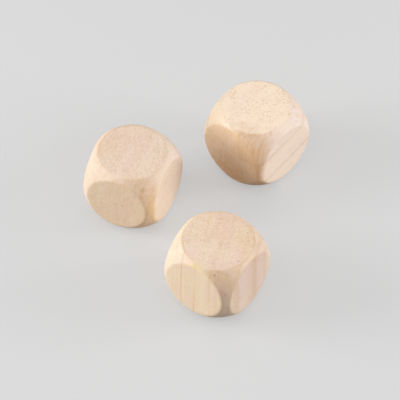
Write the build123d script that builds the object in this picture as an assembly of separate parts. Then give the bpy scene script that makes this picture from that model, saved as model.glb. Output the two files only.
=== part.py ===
from build123d import *
import os
from math import cos, hypot, radians, sin

# Three plain wooden throwing dice, lying loose on level ground.
# Millimetres, +Z up, the ground is z = 0. The origin is the middle of the rectangle of
# ground that the three dice lie over.

# The block that every die is turned from
EDGE = 89.0  # face to face: a nominal 3 1/2 in section, planed square
RIM_INSET = 5.0  # from the block's square edge in to the round rim of a face
RIM_RADIUS = 4.0  # to which the rims are sanded

# How the dice lie: turned about the vertical, and clear of the left die. A clearance is the
# gap half way up, where a die is widest. A bearing runs from the left die's centre to the
# other's, in degrees from +X towards +Y.
LEFT_TURN = -24.0
REAR_TURN = -43.6
REAR_CLEARANCE = 36.7
REAR_BEARING = 24.7
FRONT_TURN = -34.9
FRONT_CLEARANCE = 38.4
FRONT_BEARING = -52.8

# A ball cuts the block's edges and corners away and leaves each face a flat disc
half_edge = EDGE / 2
face_radius = half_edge - RIM_INSET
ball_radius = hypot(half_edge, face_radius)


def make_die():
    """One solid block of wood: a cube turned down to a ball, whose six round rims are sanded
    soft. It stands on z = 0, centred on the Z axis."""
    turned = Box(EDGE, EDGE, EDGE) & Sphere(ball_radius)
    rims = turned.edges().filter_by(GeomType.CIRCLE)
    return Pos(0, 0, half_edge) * fillet(rims, RIM_RADIUS)


def beside_left_die(clearance, bearing):
    """Where a die's centre is, on that bearing and that clear of the left die at the origin."""
    spacing = ball_radius + clearance + ball_radius
    return Pos(spacing * cos(radians(bearing)), spacing * sin(radians(bearing)), 0)


die = make_die()
dice = {
    "left_die": Rot(Z=LEFT_TURN) * die,
    "rear_die": beside_left_die(REAR_CLEARANCE, REAR_BEARING) * Rot(Z=REAR_TURN) * die,
    "front_die": beside_left_die(FRONT_CLEARANCE, FRONT_BEARING) * Rot(Z=FRONT_TURN) * die,
}

# The group moves so that the middle of the ground under it is the origin
middle = Compound(list(dice.values())).bounding_box().center()
to_origin = Pos(-middle.X, -middle.Y, 0)

os.makedirs("parts", exist_ok=True)
for name, placed_die in dice.items():
    node = to_origin * placed_die
    node.label = name
    export_step(node, f"parts/{name}.step")
    base = node.faces().sort_by(Axis.Z)[0]
    print(f"{name} rests on a disc centred at x {base.center().X:.3f}, y {base.center().Y:.3f}")
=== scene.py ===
from math import cos, radians, sin

import bpy
import numpy as np
from mathutils import Matrix, Vector


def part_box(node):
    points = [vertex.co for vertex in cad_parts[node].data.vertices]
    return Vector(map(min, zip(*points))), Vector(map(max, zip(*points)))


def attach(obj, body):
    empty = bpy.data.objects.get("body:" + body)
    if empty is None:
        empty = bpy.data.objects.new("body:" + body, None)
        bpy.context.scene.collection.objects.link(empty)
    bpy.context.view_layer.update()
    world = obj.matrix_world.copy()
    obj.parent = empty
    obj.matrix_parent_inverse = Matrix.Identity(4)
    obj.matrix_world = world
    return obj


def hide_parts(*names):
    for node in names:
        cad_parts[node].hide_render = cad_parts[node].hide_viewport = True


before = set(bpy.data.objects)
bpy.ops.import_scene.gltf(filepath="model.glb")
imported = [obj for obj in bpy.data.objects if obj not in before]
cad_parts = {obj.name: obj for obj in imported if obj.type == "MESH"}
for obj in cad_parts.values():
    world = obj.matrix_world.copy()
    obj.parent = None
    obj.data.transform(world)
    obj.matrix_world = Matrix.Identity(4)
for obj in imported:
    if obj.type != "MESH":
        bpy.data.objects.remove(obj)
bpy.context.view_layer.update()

# ----------------------------------------------------------------------------------------------
# The left die. A block of pale wood of even texture, sawn square, spun until a ball shape cuts its
# edges and corners away, then sanded until the rims are soft. It has no varnish or pips. Its
# grain runs from front to back, so the face at its front is end grain.
# ----------------------------------------------------------------------------------------------
HALF = (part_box("left_die")[1].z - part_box("left_die")[0].z) / 2  # every die, centre to face
MM = 1000  # millimetres in a metre
FACE_CELLS = 126  # mesh cells along each side of a face
SHARED_DECIMALS = 6  # to which the points that two faces share agree
WAVES = 5  # slow waves that make a die uneven
WAVE_RATE = 2.2  # radians that a usual wave turns through along each axis, from the centre outward
BALL_SWELL = 0.0003  # how far the ball wanders from round
SOFTNESS_SWING = 0.5  # how much the softness of the rims varies
FACING_AWAY = 0.001  # least cosine to a face, so that one behind a direction is far off along it
WORN_SPREAD = 0.06  # 1 less the cosine of the angle over which a worn rim fades out


def cube_directions(cells):
    """Unit directions over a cube's six faces, and the squares that join them. On each face the
    two parameters run from -1 to 1, and the direction is (1, tan(45 deg u), tan(45 deg v)), put
    on that face and normalised, so that the cells are even. Points that faces share are merged,
    which closes the surface."""
    steps = np.tan(np.linspace(-1, 1, cells + 1) * np.pi / 4)
    u, v = np.meshgrid(steps, steps, indexing="ij")
    faces = []
    for axis in range(3):
        for side in (1.0, -1.0):
            face = np.empty(u.shape + (3,))
            face[..., axis] = side
            face[..., (axis + 1) % 3] = u * side
            face[..., (axis + 2) % 3] = v
            faces.append(face.reshape(-1, 3))
    points = np.concatenate(faces)
    _, kept, merged = np.unique(
        points.round(SHARED_DECIMALS), axis=0, return_index=True, return_inverse=True
    )
    directions = points[kept] / np.linalg.norm(points[kept], axis=1, keepdims=True)
    corner = np.arange((cells + 1) ** 2).reshape(cells + 1, cells + 1)
    square = np.stack([corner[:-1, :-1], corner[1:, :-1], corner[1:, 1:], corner[:-1, 1:]], axis=-1)
    squares = np.concatenate([square.reshape(-1, 4) + face * corner.size for face in range(6)])
    return directions, merged.reshape(-1)[squares]


def turned_block(node, turn, faces, ball, ball_centre, rim_softness, worn, grain, outward, seed):
    """A die in its place, riding on its body. Its sawn faces are given as (the way each one looks,
    how far it is from the block's centre, a tint that multiplies the wood's colour on it, how woolly
    sanding left it), and they are a little out of square. Along each direction d the surface is the
    soft minimum of the distances to the faces, far / (d . way), and to the ball:
    -s log(sum of exp(-distance / s)), where s is the softness of the rims. Slow waves over the
    directions swell the ball and change the softness, as grinding by feel does, and worn gives
    directions round which the rims are softer still, as (direction, how much). Five attributes go to
    the wood: flat, 1 on the sawn faces and 0 on the ball; each face's tint and woolly; end_grain, how
    squarely the surface cuts the fibres; and quartered, how squarely it looks along the growth rings."""
    directions, squares = cube_directions(FACE_CELLS)
    low, high = (np.array(corner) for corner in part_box(node))
    random = np.random.default_rng(seed)
    waves = random.normal(size=(WAVES, 3)) * WAVE_RATE
    phases = random.uniform(0, 2 * np.pi, WAVES)
    swell = np.sin(directions @ waves.T + phases).mean(axis=1) * BALL_SWELL
    unevenness = np.sin(directions @ waves[::-1].T + phases).mean(axis=1)
    softness = rim_softness * (1 + SOFTNESS_SWING * unevenness)
    for way, how_much in worn:
        nearness = directions @ np.array(Vector(way).normalized()) - 1
        softness += how_much * np.exp(nearness / WORN_SPREAD)

    ways = np.array([Vector(face[0]).normalized() for face in faces])
    to_faces = np.array([face[1] for face in faces]) / (directions @ ways.T).clip(FACING_AWAY)
    along = directions @ np.array(ball_centre)
    to_ball = along + np.sqrt(along**2 - np.dot(ball_centre, ball_centre) + ball**2) + swell
    distances = np.column_stack([to_faces, to_ball])
    nearest = distances.min(axis=1, keepdims=True)
    crowding = np.exp((nearest - distances) / softness[:, None]).sum(axis=1)
    radius = nearest[:, 0] - softness * np.log(crowding)

    in_place = np.array(Matrix.Rotation(turn, 3, "Z"))
    points = (directions * radius[:, None]) @ in_place.T + (low + high) / 2
    mesh = bpy.data.meshes.new(node + "_wood")
    mesh.from_pydata(points, [], squares)
    mesh.polygons.foreach_set("use_smooth", np.ones(len(squares), bool))
    mesh.update()

    normals = np.empty(len(points) * 3, np.float32)
    mesh.vertices.foreach_get("normal", normals)
    normals = normals.reshape(-1, 3) @ in_place
    grain, around = np.array(grain), np.cross(grain, outward)
    flat = 1 / (1 + np.exp((to_faces.min(axis=1) - to_ball) / softness))
    facing = to_faces.argmin(axis=1)
    tint = 1 + (np.array([face[2] for face in faces])[facing] - 1) * flat[:, None]
    for name, values in (
        ("flat", flat),
        ("woolly", flat * np.array([face[3] for face in faces])[facing]),
        ("end_grain", np.abs(normals @ grain)),
        ("quartered", np.abs(normals @ around)),
    ):
        mesh.attributes.new(name, "FLOAT", "POINT").data.foreach_set("value", values.astype(np.float32))
    tint = np.column_stack([tint, np.ones(len(tint))]).astype(np.float32)
    mesh.attributes.new("tint", "FLOAT_COLOR", "POINT").data.foreach_set("color", tint.ravel())

    block = bpy.data.objects.new(node + "_wood", mesh)
    bpy.context.scene.collection.objects.link(block)
    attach(block, node)
    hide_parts(node)
    return block


class Finish:
    """Lays down the nodes of one finish. Numbers given to a node are set on it, and sockets are
    linked to it."""

    def __init__(self, finished):
        finished.use_nodes = True
        self.tree = finished.node_tree

    def put(self, kind, feeds, **settings):
        node = self.tree.nodes.new("ShaderNode" + kind)
        for name, value in settings.items():
            setattr(node, name, value)
        for socket, value in feeds.items():
            if isinstance(value, bpy.types.NodeSocket):
                self.tree.links.new(value, node.inputs[socket])
            else:
                node.inputs[socket].default_value = value
        return node

    def math(self, operation, first, second=0.0):
        return self.put("Math", {0: first, 1: second}, operation=operation).outputs[0]

    def times(self, *factors):
        product = factors[0]
        for factor in factors[1:]:
            product = self.math("MULTIPLY", product, factor)
        return product

    def stretch(self, vector, scales):
        return self.put("VectorMath", {0: vector, 1: scales}, operation="MULTIPLY").outputs[0]

    def noise(self, vector, *, detail, roughness=0.55):
        feeds = {"Vector": vector, "Scale": 1.0, "Detail": detail, "Roughness": roughness}
        return self.put("TexNoise", feeds).outputs["Fac"]

    def cells(self, vector):
        return self.put("TexVoronoi", {"Vector": vector, "Scale": 1.0}).outputs["Distance"]

    def away_from(self, place):
        """How far a point of the surface is from a place."""
        point = self.put("TexCoord", {}).outputs["Object"]
        return self.put("VectorMath", {0: point, 1: place}, operation="DISTANCE").outputs["Value"]

    def read(self, attribute, output="Fac"):
        return self.put("Attribute", {}, attribute_name=attribute).outputs[output]

    def fade(self, value, start, end, low=0.0, high=1.0):
        """Low up to start, high from end on, and a smooth step between them."""
        feeds = {"Value": value, "From Min": start, "From Max": end, "To Min": low, "To Max": high}
        return self.put("MapRange", feeds, interpolation_type="SMOOTHSTEP").outputs[0]

    def colour(self, share, first, second, blend_type="MIX"):
        """Sockets 6 and 7 of a Mix node are its two colours, and output 2 is what they make."""
        node = self.put("Mix", {0: share, 6: first, 7: second}, data_type="RGBA", blend_type=blend_type)
        return node.outputs[2]

    def stain(self, share, colour, stain):
        """Stains multiply the wood under them, so its own figure shows through."""
        return self.colour(share, colour, (*stain, 1), "MULTIPLY")


RING_REACH = 80.0  # mm either side of the block's centre for which marks are laid
WANDER = 3.0  # mm by which the rings wander
MARK_END = 0.2  # a mark darkens over its width, and ends in this much of it
RAY_CORE = 0.45  # a ray is whole out to this share of its size
RAY_CROWDING = 0.16  # how quickly rays crowd where the noise passes the level at which they thin out
PORE_DEPTH = 0.5
RIM_PEAK = 4.0  # flat times ball is a quarter at most, half way over a rim
TINT_SPOT_CORE = 3.3  # each stain, painted shade and painted highlight is whole out to its reach divided by this
SPECK_CORE = 3.0  # and so is a pin knot
RELIEF = 0.0002  # height of the raised fibres and wool
RELIEF_STRENGTH = 0.5
FIBRE_HEIGHT, NAP_HEIGHT, RAY_SINK, PORE_SINK = 0.5, 0.8, 0.5, 0.35  # shares of the relief
GLOSS = 0.16  # specular level of bare wood

# How often each part of the figure repeats in a millimetre: along the stick's own axes, the last
# of which is along the fibres, or out from the pith, round it and along the fibres
WANDER_SCALE = (0.03, 0.03, 0.008)
PATCH_SCALE = (0.05, 0.05, 0.03)
CROWD_SCALE = (0.045, 0.045, 0.03)
PORE_SCALE = (0.75, 0.75, 0.12)
FIBRE_SCALE = (1.3, 1.3, 0.05)
CLOUD_SCALE = (0.035, 0.035, 0.018)
STREAK_SCALE = (0.28, 0.16, 0.010)
FAN_SCALE = (0.03, 0.30, 0.04)

# Where each part of the figure fades in: where it starts and where it is whole, then what it is at
# either end if that isn't 0 and 1. Most are over a noise, whose middle is 0.5
MARK_PATCHES = (0.3, 0.6, 0.5, 1.0)
MARK_ON_END = (0.4, 0.95, 1.0, 0.4)  # over how squarely the fibres are cut
RAY_ON_QUARTER = (0.3, 0.9, 1.0, 0.25)  # over how squarely the surface looks along the rings
RAY_ON_END = (0.5, 0.9)
PORE = (0.30, 0.14)  # over the distance from a pore's middle
PALE_NAP = (0.53, 0.66)
DULL_NAP = (0.47, 0.36)
THIN_NAP = (0.6, 0.45, 0.4, 1.0)
DRIFT = (0.36, 0.64)
STREAK = (0.38, 0.68)
FIBRE = (0.3, 0.7)
FAN = (0.40, 0.62)
FAN_ON_END = (0.3, 0.7)
STAINED_ENDS = (0.5, 0.95)
STAINED_FLATS = (0.0, 1.0, 0.3, 1.0)  # over flat, so that end grain is stained less on the ball
STREAKED_BALL = (0.38, 0.60, 0.65, 1.15)
ROUGHNESS = (0.2, 0.8, 0.62, 0.78)


def stick_coordinates(wood, box, turn, grain, outward):
    """Millimetres from the block's centre, along the stick that it was cut from: the first axis
    outward to the bark, the third along the grain."""
    to_stick = Matrix((outward, grain.cross(outward), grain)) @ Matrix.Rotation(-turn, 3, "Z")
    centre = to_stick @ ((box[0] + box[1]) / 2) * MM
    placed = wood.put("TexCoord", {}).outputs["Object"]
    feeds = {"Vector": placed, "Location": -centre, "Rotation": to_stick.to_euler(), "Scale": (MM,) * 3}
    return wood.put("Mapping", feeds).outputs[0]


def tree_coordinates(wood, stick, pith):
    """How far out a point is from the ring at the block's centre, how far round the tree at that
    ring, and how far along. The rings wander as a tree's do."""
    from_pith = wood.put("VectorMath", {0: stick, 1: (*pith, 0)}, operation="ADD").outputs[0]
    x_y_z = wood.put("SeparateXYZ", {0: from_pith}).outputs
    across = wood.put("VectorMath", {0: wood.stretch(from_pith, (1, 1, 0))}, operation="LENGTH")
    wander = wood.times(wood.noise(wood.stretch(stick, WANDER_SCALE), detail=2), WANDER)
    ring = wood.math("ADD", across.outputs["Value"], wander)
    ring = wood.math("SUBTRACT", ring, pith[0] + WANDER / 2)
    around = wood.times(wood.math("ARCTAN2", x_y_z[1], x_y_z[0]), pith[0])
    return ring, wood.put("CombineXYZ", {0: ring, 1: around, 2: x_y_z[2]}).outputs[0]


def growth_marks(wood, ring, stick, end_grain, marks):
    """The darker lines where a year's growth slowed, each a saw tooth over the distance out. They
    are patchy, and fainter on end grain."""
    place = wood.fade(ring, -RING_REACH, RING_REACH)
    place.node.interpolation_type = "LINEAR"
    ramp = wood.put("ValToRGB", {"Fac": place})
    stops = []
    for distance, depth, width in marks:
        stops += [(distance - width, 0.0), (distance, depth), (distance + width * MARK_END, 0.0)]
    for number, (distance, depth) in enumerate(sorted(stops)):  # a new ramp has two stops already
        at = (distance + RING_REACH) / (2 * RING_REACH)
        stop = ramp.color_ramp.elements[number] if number < 2 else ramp.color_ramp.elements.new(at)
        stop.position = at
        stop.color = (depth, depth, depth, 1)
    patchy = wood.noise(wood.stretch(stick, PATCH_SCALE), detail=3)
    patchy = wood.fade(patchy, *MARK_PATCHES)
    return wood.times(ramp.outputs["Color"], patchy, wood.fade(end_grain, *MARK_ON_END))


def ray_flecks(wood, stick, tree, end_grain, rays):
    """The ribbons of cells that run out through the rings. Each is one cell of a stretched lattice,
    and they crowd in some places and thin out in others. Their size is a share of that cell. They
    show least where the surface looks along the rings."""
    width, height, reach = rays["spacing"]
    ray = wood.cells(wood.stretch(tree, (1 / reach, 1 / width, 1 / height)))
    ray = wood.fade(ray, rays["size"], rays["size"] * RAY_CORE)
    crowd = wood.noise(wood.stretch(stick, CROWD_SCALE), detail=2)
    crowd = wood.fade(crowd, rays["thin"], rays["thin"] + RAY_CROWDING)
    quartered = wood.fade(wood.read("quartered"), *RAY_ON_QUARTER)
    return wood.times(ray, crowd, quartered, wood.fade(end_grain, *RAY_ON_END, 1.0, rays["on_end"]))


def bare_wood(block, turn, grain, outward, pith, marks, rays, wool, tones, painted_light_and_stains, specks):
    """Solid bare wood. Marks are the growth lines: (distance out from the block's centre, depth,
    width). Rays run outward, and show as dots, as dashes along the fibres, or as lines on end
    grain. Wool is the nap that sanding raises on the flats, in tufts that are paler or duller than
    the wood. Tones are the colours: cream and rose drift into each other, dust is the paler tufts',
    knot is the specks', and each other one multiplies the wood under it, the streak's by as much as
    streakiness says. Painted light and stains are tints, each about a place in the block's own
    frame, on the ball, on its streaks, on the flats or on the rims: (place, reach, tint, where).
    Many of them are painted shade and painted highlights; some are stains in the wood. Specks are
    pin knots: (place, reach, depth). All of it is in millimetres."""
    material = bpy.data.materials.new(block.name)
    wood = Finish(material)
    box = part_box(block.name.removesuffix("_wood"))
    to_place = Matrix.Translation((box[0] + box[1]) / 2) @ Matrix.Rotation(turn, 4, "Z")
    stick = stick_coordinates(wood, box, turn, Vector(grain), Vector(outward))
    ring, tree = tree_coordinates(wood, stick, pith)
    flat = wood.read("flat")
    woolly = wood.read("woolly")
    end_grain = wood.read("end_grain")

    # Figure
    mark = growth_marks(wood, ring, stick, end_grain, marks)
    ray = ray_flecks(wood, stick, tree, end_grain, rays)
    pore = wood.fade(wood.cells(wood.stretch(stick, PORE_SCALE)), *PORE)
    fibre = wood.noise(wood.stretch(stick, FIBRE_SCALE), detail=5, roughness=0.65)
    cloud = wood.noise(wood.stretch(stick, CLOUD_SCALE), detail=2)
    streak = wood.noise(wood.stretch(tree, STREAK_SCALE), detail=3)
    fan = wood.noise(wood.stretch(tree, FAN_SCALE), detail=3, roughness=0.6)
    nap = wood.noise(wood.stretch(stick, wool["scale"]), detail=3, roughness=0.7)
    thinner = wood.fade(cloud, *THIN_NAP)
    pale_nap = wood.times(wood.fade(nap, *PALE_NAP), woolly, thinner, wool["pale"])
    dull_nap = wood.times(wood.fade(nap, *DULL_NAP), woolly, wool["dull"])

    # The wood's own colour
    colour = wood.colour(wood.fade(cloud, *DRIFT), tones["cream"], tones["rose"])
    streaky = wood.fade(streak, *STREAK, 0.0, tones["streakiness"])
    colour = wood.stain(streaky, colour, tones["streak"])
    colour = wood.stain(mark, colour, tones["mark"])
    fibrous = wood.fade(fibre, *FIBRE, 0.0, tones["streakiness"])
    colour = wood.stain(fibrous, colour, tones["streak"])
    fanned = wood.times(wood.fade(fan, *FAN), wood.fade(end_grain, *FAN_ON_END))
    colour = wood.stain(fanned, colour, tones["fan"])
    sawn_ends = wood.times(wood.fade(end_grain, *STAINED_ENDS), wood.fade(flat, *STAINED_FLATS))
    colour = wood.stain(sawn_ends, colour, tones["end"])
    colour = wood.stain(wood.times(pore, PORE_DEPTH), colour, tones["pore"])
    colour = wood.stain(wood.times(ray, rays["depth"]), colour, tones["pore"])

    # Stains and painted light and shade, then the sanded nap and each face's tint, then pin knots
    ball = wood.math("SUBTRACT", 1.0, flat)
    streaked = wood.times(ball, wood.fade(fan, *STREAKED_BALL))
    rims = wood.times(flat, ball, RIM_PEAK)
    wheres = {"ball": ball, "streaked": streaked, "flats": flat, "rims": rims}
    for spot, reach, tint, where in painted_light_and_stains:
        away = wood.away_from(to_place @ (Vector(spot) / MM))
        near = wood.fade(away, reach / MM, reach / MM / TINT_SPOT_CORE)
        colour = wood.stain(wood.times(near, wheres[where]), colour, tint)
    colour = wood.stain(dull_nap, colour, tones["wool"])
    colour = wood.colour(pale_nap, colour, (*tones["dust"], 1))
    colour = wood.colour(1.0, colour, wood.read("tint", "Color"), "MULTIPLY")
    for spot, reach, depth in specks:
        away = wood.away_from(to_place @ (Vector(spot) / MM))
        near = wood.fade(away, reach / MM, reach / MM / SPECK_CORE, 0.0, depth)
        colour = wood.colour(near, colour, (*tones["knot"], 1))

    # Surface: raised fibres and wool, open pores
    rough = wood.fade(fibre, *ROUGHNESS)
    raised = wood.math("ADD", wood.times(fibre, FIBRE_HEIGHT), wood.times(nap, woolly, NAP_HEIGHT))
    raised = wood.math("SUBTRACT", raised, wood.times(ray, RAY_SINK))
    raised = wood.math("SUBTRACT", raised, wood.times(pore, PORE_SINK))
    bump = wood.put("Bump", {"Strength": RELIEF_STRENGTH, "Distance": RELIEF, "Height": raised})

    shader = material.node_tree.nodes["Principled BSDF"]
    shader.inputs["Specular IOR Level"].default_value = GLOSS
    for socket, value in (("Base Color", colour), ("Roughness", rough), ("Normal", bump.outputs[0])):
        material.node_tree.links.new(value, shader.inputs[socket])
    block.data.materials.append(material)


left_turn = radians(-24.0)
left_grain = (0, 1, 0)
left_outward = (0, 0, 1)
left_faces = [
    ((0, 0, -1), HALF, (0.97, 0.96, 0.93), 0.8),
    ((0.002, -0.005, 1), HALF - 0.0004, (1.03, 1.04, 1.07), 1.0),
    ((0.01, -1, 0.045), HALF + 0.0010, (1.045, 1.04, 0.995), 0.8),
    ((0, 1, 0), HALF, (0.97, 0.97, 0.95), 0.9),
    ((1, -0.015, 0.005), HALF, (0.965, 0.975, 0.98), 0.35),
    ((-1, 0, 0), HALF, (1.0, 0.99, 0.96), 0.5),
]
left_block = turned_block(
    "left_die",
    left_turn,
    left_faces,
    ball=0.0587,
    ball_centre=(0, 0.0007, 0.0002),
    rim_softness=0.0005,
    worn=[((0.42, -0.78, 0.46), 0.0007)],
    grain=left_grain,
    outward=left_outward,
    seed=3,
)
bare_wood(
    left_block,
    left_turn,
    left_grain,
    left_outward,
    pith=(250, 0),
    marks=[
        (-62, 0.4, 5),
        (-38, 0.3, 5),
        (-16, 0.2, 5),
        (6, 0.2, 4),
        (27, 0.15, 5),
        (46, 0.6, 4),
        (64, 0.4, 4),
    ],
    rays={"spacing": (2.8, 7.0, 22.0), "size": 0.27, "depth": 0.45, "thin": 0.34, "on_end": 0.7},
    wool={"scale": (0.46, 0.46, 0.28), "pale": 0.8, "dull": 0.8},
    tones={
        "cream": (0.82, 0.672, 0.552, 1),
        "rose": (0.815, 0.655, 0.555, 1),
        "streak": (0.95, 0.90, 0.82),
        "streakiness": 0.5,
        "mark": (0.93, 0.86, 0.74),
        "end": (1.0, 0.98, 0.93),
        "pore": (0.82, 0.70, 0.56),
        "fan": (0.98, 0.95, 0.90),
        "wool": (0.90, 0.885, 0.85),
        "dust": (0.84, 0.70, 0.58),
        "knot": (0.30, 0.18, 0.10),
    },
    painted_light_and_stains=[
        # painted shade: the next three deepen the warm shade of the corner between the front and right
        # faces
        ((28, -40, 38), 28, (0.96, 0.88, 0.80), "streaked"),
        ((42, -42, 8), 34, (0.97, 0.89, 0.73), "streaked"),
        ((30.3, -38, 34), 5, (0.90, 0.84, 0.72), "ball"),
        ((39, -42, 10), 14, (1.0, 0.99, 0.95), "ball"),
        # painted shade on the front left corner
        ((-38, -28, 30), 42, (0.90, 0.92, 0.92), "ball"),
        # cool painted shade on the back right corner
        ((40, 26, 36), 42, (0.93, 0.95, 1.0), "ball"),
        # painted shade at the foot of the corner between the front and right faces
        ((40, -38, -34), 26, (0.95, 0.89, 0.85), "ball"),
        ((-33, -2, 43), 26, (0.975, 0.945, 0.90), "flats"),
        ((-30, 12, 43), 46, (0.89, 0.79, 0.62), "rims"),
        ((12, -42, 37), 18, (0.97, 0.94, 0.84), "rims"),
        # painted shade in the crease beside the corner between the front and right faces
        ((43, -34, -8), 34, (0.965, 0.92, 0.80), "rims"),
        # painted highlight along the top's front rim
        ((14, -34, 43), 30, (1.04, 1.05, 1.06), "rims"),
        ((45, 22, 20), 44, (0.93, 0.925, 0.90), "flats"),
        # painted shade along the right face's edge at that corner
        ((45, -40, 3), 12, (0.90, 0.92, 0.87), "flats"),
    ],
    specks=[((7.8, -45.5, 3.1), 1.4, 0.6), ((-1, -45.5, 1), 1.0, 0.6)],
)

# ----------------------------------------------------------------------------------------------
# The rear die. The same blank and the same turning, in a whiter stick with broad, widely set
# rings. It lies with the bark side down, so its top is flecked with the ends of the rays, its
# right side shows the years as straight lines, and its left side is brown end grain, darkened
# further by painted shade low down and towards its corner with the right side.
# ----------------------------------------------------------------------------------------------
rear_turn = radians(-43.6)
rear_grain = (0, 0.9725, 0.2329)
rear_outward = (0, 0.2329, -0.9725)
rear_faces = [
    ((0, 0, -1), HALF, (0.98, 0.97, 0.95), 0.4),
    ((-0.024, 0, 1), HALF, (1.11, 1.075, 1.03), 0.5),
    ((0.011, -1, 0.033), HALF, (0.985, 1.02, 1.065), 0.4),
    ((0, 1, 0), HALF, (0.98, 0.97, 0.95), 0.4),
    ((1, -0.008, -0.013), HALF + 0.0002, (1.06, 1.03, 1.04), 0.3),
    ((-1, 0, 0), HALF, (1.0, 0.99, 0.97), 0.3),
]
rear_block = turned_block(
    "rear_die",
    rear_turn,
    rear_faces,
    ball=0.0599,
    ball_centre=(-0.0005, 0, -0.0002),
    rim_softness=0.0005,
    worn=[((0.55, -0.83, 0.05), 0.0020)],
    grain=rear_grain,
    outward=rear_outward,
    seed=5,
)
bare_wood(
    rear_block,
    rear_turn,
    rear_grain,
    rear_outward,
    pith=(150, 15),
    marks=[(-50, 0.6, 7), (-16, 0.85, 6), (17.5, 0.85, 6), (51, 0.6, 7)],
    rays={"spacing": (3.6, 4.4, 25.0), "size": 0.40, "depth": 0.78, "thin": 0.42, "on_end": 0.45},
    wool={"scale": (0.5, 0.5, 0.3), "pale": 0.35, "dull": 0.5},
    tones={
        "cream": (0.85, 0.725, 0.61, 1),
        "rose": (0.83, 0.695, 0.60, 1),
        "streak": (0.95, 0.90, 0.83),
        "streakiness": 0.38,
        "mark": (0.85, 0.81, 0.72),
        "end": (1.0, 0.86, 0.70),
        "pore": (0.82, 0.70, 0.54),
        "fan": (0.98, 0.94, 0.88),
        "wool": (0.95, 0.92, 0.88),
        "dust": (0.92, 0.78, 0.63),
        "knot": (0.3, 0.18, 0.1),
    },
    painted_light_and_stains=[
        # painted shade: the next two deepen the warm shade of the corner between the front and right
        # faces
        ((24, -40, 38), 30, (0.93, 0.785, 0.635), "streaked"),
        ((41, -41, 2), 44, (1.01, 0.83, 0.65), "streaked"),
        # painted shade at the foot of that corner
        ((40, -36, -38), 28, (0.84, 0.75, 0.74), "ball"),
        # painted shade on the front left corner
        ((-36, -28, 32), 38, (0.86, 0.83, 0.735), "ball"),
        # cool painted shade on the back right corner
        ((34, 34, 38), 44, (0.92, 0.93, 0.99), "ball"),
        ((42, -8, 42), 32, (1.03, 0.99, 0.98), "ball"),
        # painted highlight along the top's front rim
        ((14, -32, 43), 34, (1.05, 1.07, 1.08), "rims"),
        # painted shadow of the left die over the lower front face
        ((8, -46, -38), 46, (0.92, 0.82, 0.73), "flats"),
        # painted shade on the front face beside its corner with the right face
        ((26, -45, 20), 28, (0.94, 0.87, 0.80), "flats"),
        ((15, -43, 34), 16, (0.90, 0.84, 0.77), "rims"),
        # painted shade in the crease beside the corner between the front and right faces
        ((47, -30, 6), 24, (0.90, 0.83, 0.74), "rims"),
    ],
    specks=[],
)

# ----------------------------------------------------------------------------------------------
# The front die. The same blank again, from a yellower stick, but stood on its end grain: the
# fibres run upright, so the years show as upright lines on its sides, and its top is end grain
# that the sander left woolly. It has a few pin knots.
# ----------------------------------------------------------------------------------------------
front_turn = radians(-34.9)
front_grain = (0, 0, 1)
front_outward = (0.927, 0.375, 0)
front_faces = [
    ((0, 0, -1), HALF, (0.97, 0.96, 0.94), 1.0),
    ((0.022, 0.010, 1), HALF - 0.0008, (0.99, 0.975, 1.015), 1.0),
    ((0.004, -1, 0.045), HALF + 0.0010, (1.06, 1.045, 1.02), 0.15),
    ((0, 1, 0), HALF, (0.99, 0.98, 0.96), 0.2),
    ((1, -0.011, -0.004), HALF, (0.915, 0.905, 0.98), 0.2),
    ((-1, 0, 0), HALF, (1.0, 0.99, 0.97), 0.2),
]
front_block = turned_block(
    "front_die",
    front_turn,
    front_faces,
    ball=0.0591,
    ball_centre=(0, 0.0002, 0.0006),
    rim_softness=0.0005,
    worn=[],
    grain=front_grain,
    outward=front_outward,
    seed=8,
)
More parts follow.
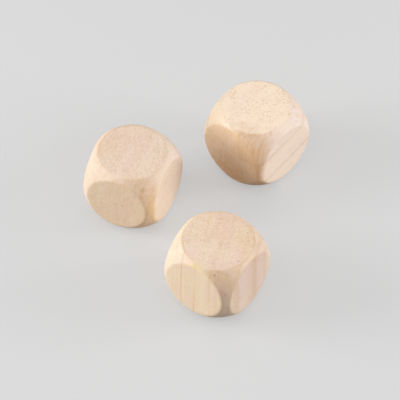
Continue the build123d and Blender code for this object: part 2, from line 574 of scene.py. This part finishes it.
bare_wood(
    front_block,
    front_turn,
    front_grain,
    front_outward,
    pith=(400, 0),
    marks=[
        (-60, 0.5, 5),
        (-41, 0.35, 3),
        (-30.7, 1.0, 2.5),
        (-13.5, 1.0, 2.5),
        (5.5, 0.75, 2.5),
        (14, 0.4, 3.5),
        (34, 0.9, 5),
        (46, 0.9, 6),
        (53, 0.4, 3),
        (66, 0.5, 4),
    ],
    rays={"spacing": (3.0, 6.0, 20.0), "size": 0.24, "depth": 0.45, "thin": 0.40, "on_end": 0.7},
    wool={"scale": (0.60, 0.50, 0.4), "pale": 0.95, "dull": 1.0},
    tones={
        "cream": (0.855, 0.70, 0.525, 1),
        "rose": (0.835, 0.655, 0.525, 1),
        "streak": (0.95, 0.91, 0.83),
        "streakiness": 0.4,
        "mark": (0.90, 0.83, 0.68),
        "end": (1.0, 1.0, 1.0),
        "pore": (0.82, 0.70, 0.56),
        "fan": (0.985, 0.97, 0.94),
        "wool": (0.89, 0.86, 0.82),
        "dust": (0.88, 0.745, 0.62),
        "knot": (0.3, 0.17, 0.12),
    },
    painted_light_and_stains=[
        # painted shade: the next two deepen the shade of the corner between the front and right faces
        ((30, -40, 34), 28, (0.96, 0.89, 0.79), "streaked"),
        ((42, -42, 6), 34, (0.90, 0.84, 0.87), "streaked"),
        # cool painted shade on the front left corner
        ((-38, -30, 28), 42, (0.89, 0.97, 1.0), "ball"),
        # painted shade on the back right corner
        ((36, 32, 38), 42, (0.85, 0.84, 0.89), "ball"),
        ((1, -42, 42), 9, (0.98, 0.995, 0.84), "ball"),
        # painted shade at the foot of the corner between the front and right faces
        ((40, -38, -34), 28, (0.88, 0.82, 0.88), "ball"),
        ((38, 20, 43), 28, (0.96, 0.92, 0.84), "flats"),
        ((27, -8, 43), 16, (1.02, 1.035, 1.06), "flats"),
        ((-10, -34, 43), 26, (1.02, 1.035, 1.06), "flats"),
        ((-10, 30, 43), 52, (0.99, 0.965, 0.93), "flats"),
        ((-27, -27, 43), 26, (0.90, 0.82, 0.70), "rims"),
        ((31, 27, 43), 22, (0.92, 0.85, 0.74), "rims"),
        ((39, -10, 42), 20, (0.95, 0.90, 0.79), "rims"),
        ((-4, -43, 37), 18, (0.99, 0.96, 0.80), "rims"),
        # painted highlight along the top's front rim
        ((10, -36, 43), 26, (1.03, 1.04, 1.05), "rims"),
        # painted shade in the crease beside the corner between the front and right faces
        ((43, -40, -2), 32, (0.86, 0.80, 0.74), "rims"),
    ],
    specks=[
        ((23.0, -38.6, 39.0), 2.1, 0.40),
        ((35.1, -10.1, 43.0), 1.5, 0.5),
        ((20.9, 28.4, 43.0), 1.4, 0.4),
        ((39.3, -41.0, 17.6), 1.8, 0.22),
    ],
)

# ----------------------------------------------------------------------------------------------
# The studio: a sheet of pale grey paper laid flat in a room of the same grey, a large softbox
# overhead and a smaller one low on each side, and a long lens well above the dice.
# ----------------------------------------------------------------------------------------------
PAPER_REACH = 4.0  # metres from the origin to each edge of the sheet
PAPER_DROP = 0.0001  # the paper lies this far under the dice, so that no two surfaces coincide
PAPER_GREY = (0.69, 0.69, 0.69, 1)  # as it is seen
BOUNCE_GREY = (0.35, 0.35, 0.35, 1)  # as it lights the dice: darker, so that they are shaded below
GLOW = 0.56  # share of what is seen of it that shadows can't darken, which keeps them faint
GLOW_FADE = (0.45, 1.2)  # metres out between which that share grows to 1: no pools of side light
SKY = 0.41  # strength of the even light from all round

paper_mesh = bpy.data.meshes.new("paper")
sides = ((-1, -1), (1, -1), (1, 1), (-1, 1))
corners = [(x * PAPER_REACH, y * PAPER_REACH, -PAPER_DROP) for x, y in sides]
paper_mesh.from_pydata(corners, [], [(0, 1, 2, 3)])
paper = bpy.data.objects.new("paper", paper_mesh)
bpy.context.scene.collection.objects.link(paper)
paper_material = bpy.data.materials.new("paper")
paper_mesh.materials.append(paper_material)
room = bpy.data.worlds.new("room")
bpy.context.scene.world = room


def as_seen(finish, cast, shown):
    """Shown is what the camera sees, straight or by a gloss or through glass. All other light comes
    from cast."""
    path = finish.put("LightPath", {}).outputs
    seen = finish.math("MAXIMUM", path["Is Camera Ray"], path["Is Glossy Ray"])
    seen = finish.math("MAXIMUM", seen, path["Is Transmission Ray"])
    return finish.put("MixShader", {0: seen, 1: cast, 2: shown}).outputs[0]


sheet = Finish(paper_material)
sheet.tree.nodes.clear()
matt = sheet.put("BsdfDiffuse", {"Color": PAPER_GREY}).outputs[0]
glow = sheet.put("Emission", {"Color": PAPER_GREY}).outputs[0]
share = sheet.fade(sheet.away_from((0, 0, 0)), *GLOW_FADE, GLOW, 1.0)
lit = sheet.put("MixShader", {0: share, 1: matt, 2: glow}).outputs[0]
bounce = sheet.put("BsdfDiffuse", {"Color": BOUNCE_GREY}).outputs[0]
sheet.put("OutputMaterial", {"Surface": as_seen(sheet, bounce, lit)})

walls = Finish(room)
walls.tree.nodes.clear()
light = walls.put("Background", {"Color": (1, 1, 1, 1), "Strength": SKY}).outputs[0]
grey = walls.put("Background", {"Color": PAPER_GREY}).outputs[0]
walls.put("OutputWorld", {"Surface": as_seen(walls, light, grey)})

# Each lamp is a square of cloth: its name, power, side and place, and it looks at the dice
for name, power, side, place in (
    ("overhead_softbox", 17.9, 3.0, (0.25, -0.5, 2.1)),
    ("left_softbox", 60.2, 1.4, (-2.4, 0, 0.75)),
    ("right_softbox", 41.2, 1.1, (2.4, 0, 0.6)),
):
    lamp_data = bpy.data.lights.new(name, "AREA")
    lamp_data.size = side
    lamp_data.energy = power
    lamp = bpy.data.objects.new(name, lamp_data)
    bpy.context.scene.collection.objects.link(lamp)
    lamp.location = place
    lamp.rotation_euler = Vector(place).to_track_quat("Z", "Y").to_euler()

LOOKED_AT = Vector((0.0039, 0.0321, 0))  # the point of the ground at the middle of the picture
CAMERA_HEIGHT = radians(51.27)  # the angle above the ground
CAMERA_DISTANCE = 3.631
LENS = 285.5  # mm, on a sensor 36 mm wide
camera_data = bpy.data.cameras.new("camera")
camera_data.lens = LENS
camera_data.clip_end = 2 * PAPER_REACH + CAMERA_DISTANCE
camera = bpy.data.objects.new("camera", camera_data)
bpy.context.scene.collection.objects.link(camera)
camera.location = LOOKED_AT + CAMERA_DISTANCE * Vector((0, -cos(CAMERA_HEIGHT), sin(CAMERA_HEIGHT)))
camera.rotation_euler = (radians(90) - CAMERA_HEIGHT, 0, 0)
bpy.context.scene.camera = camera
bpy.context.scene.view_settings.view_transform = "Standard"
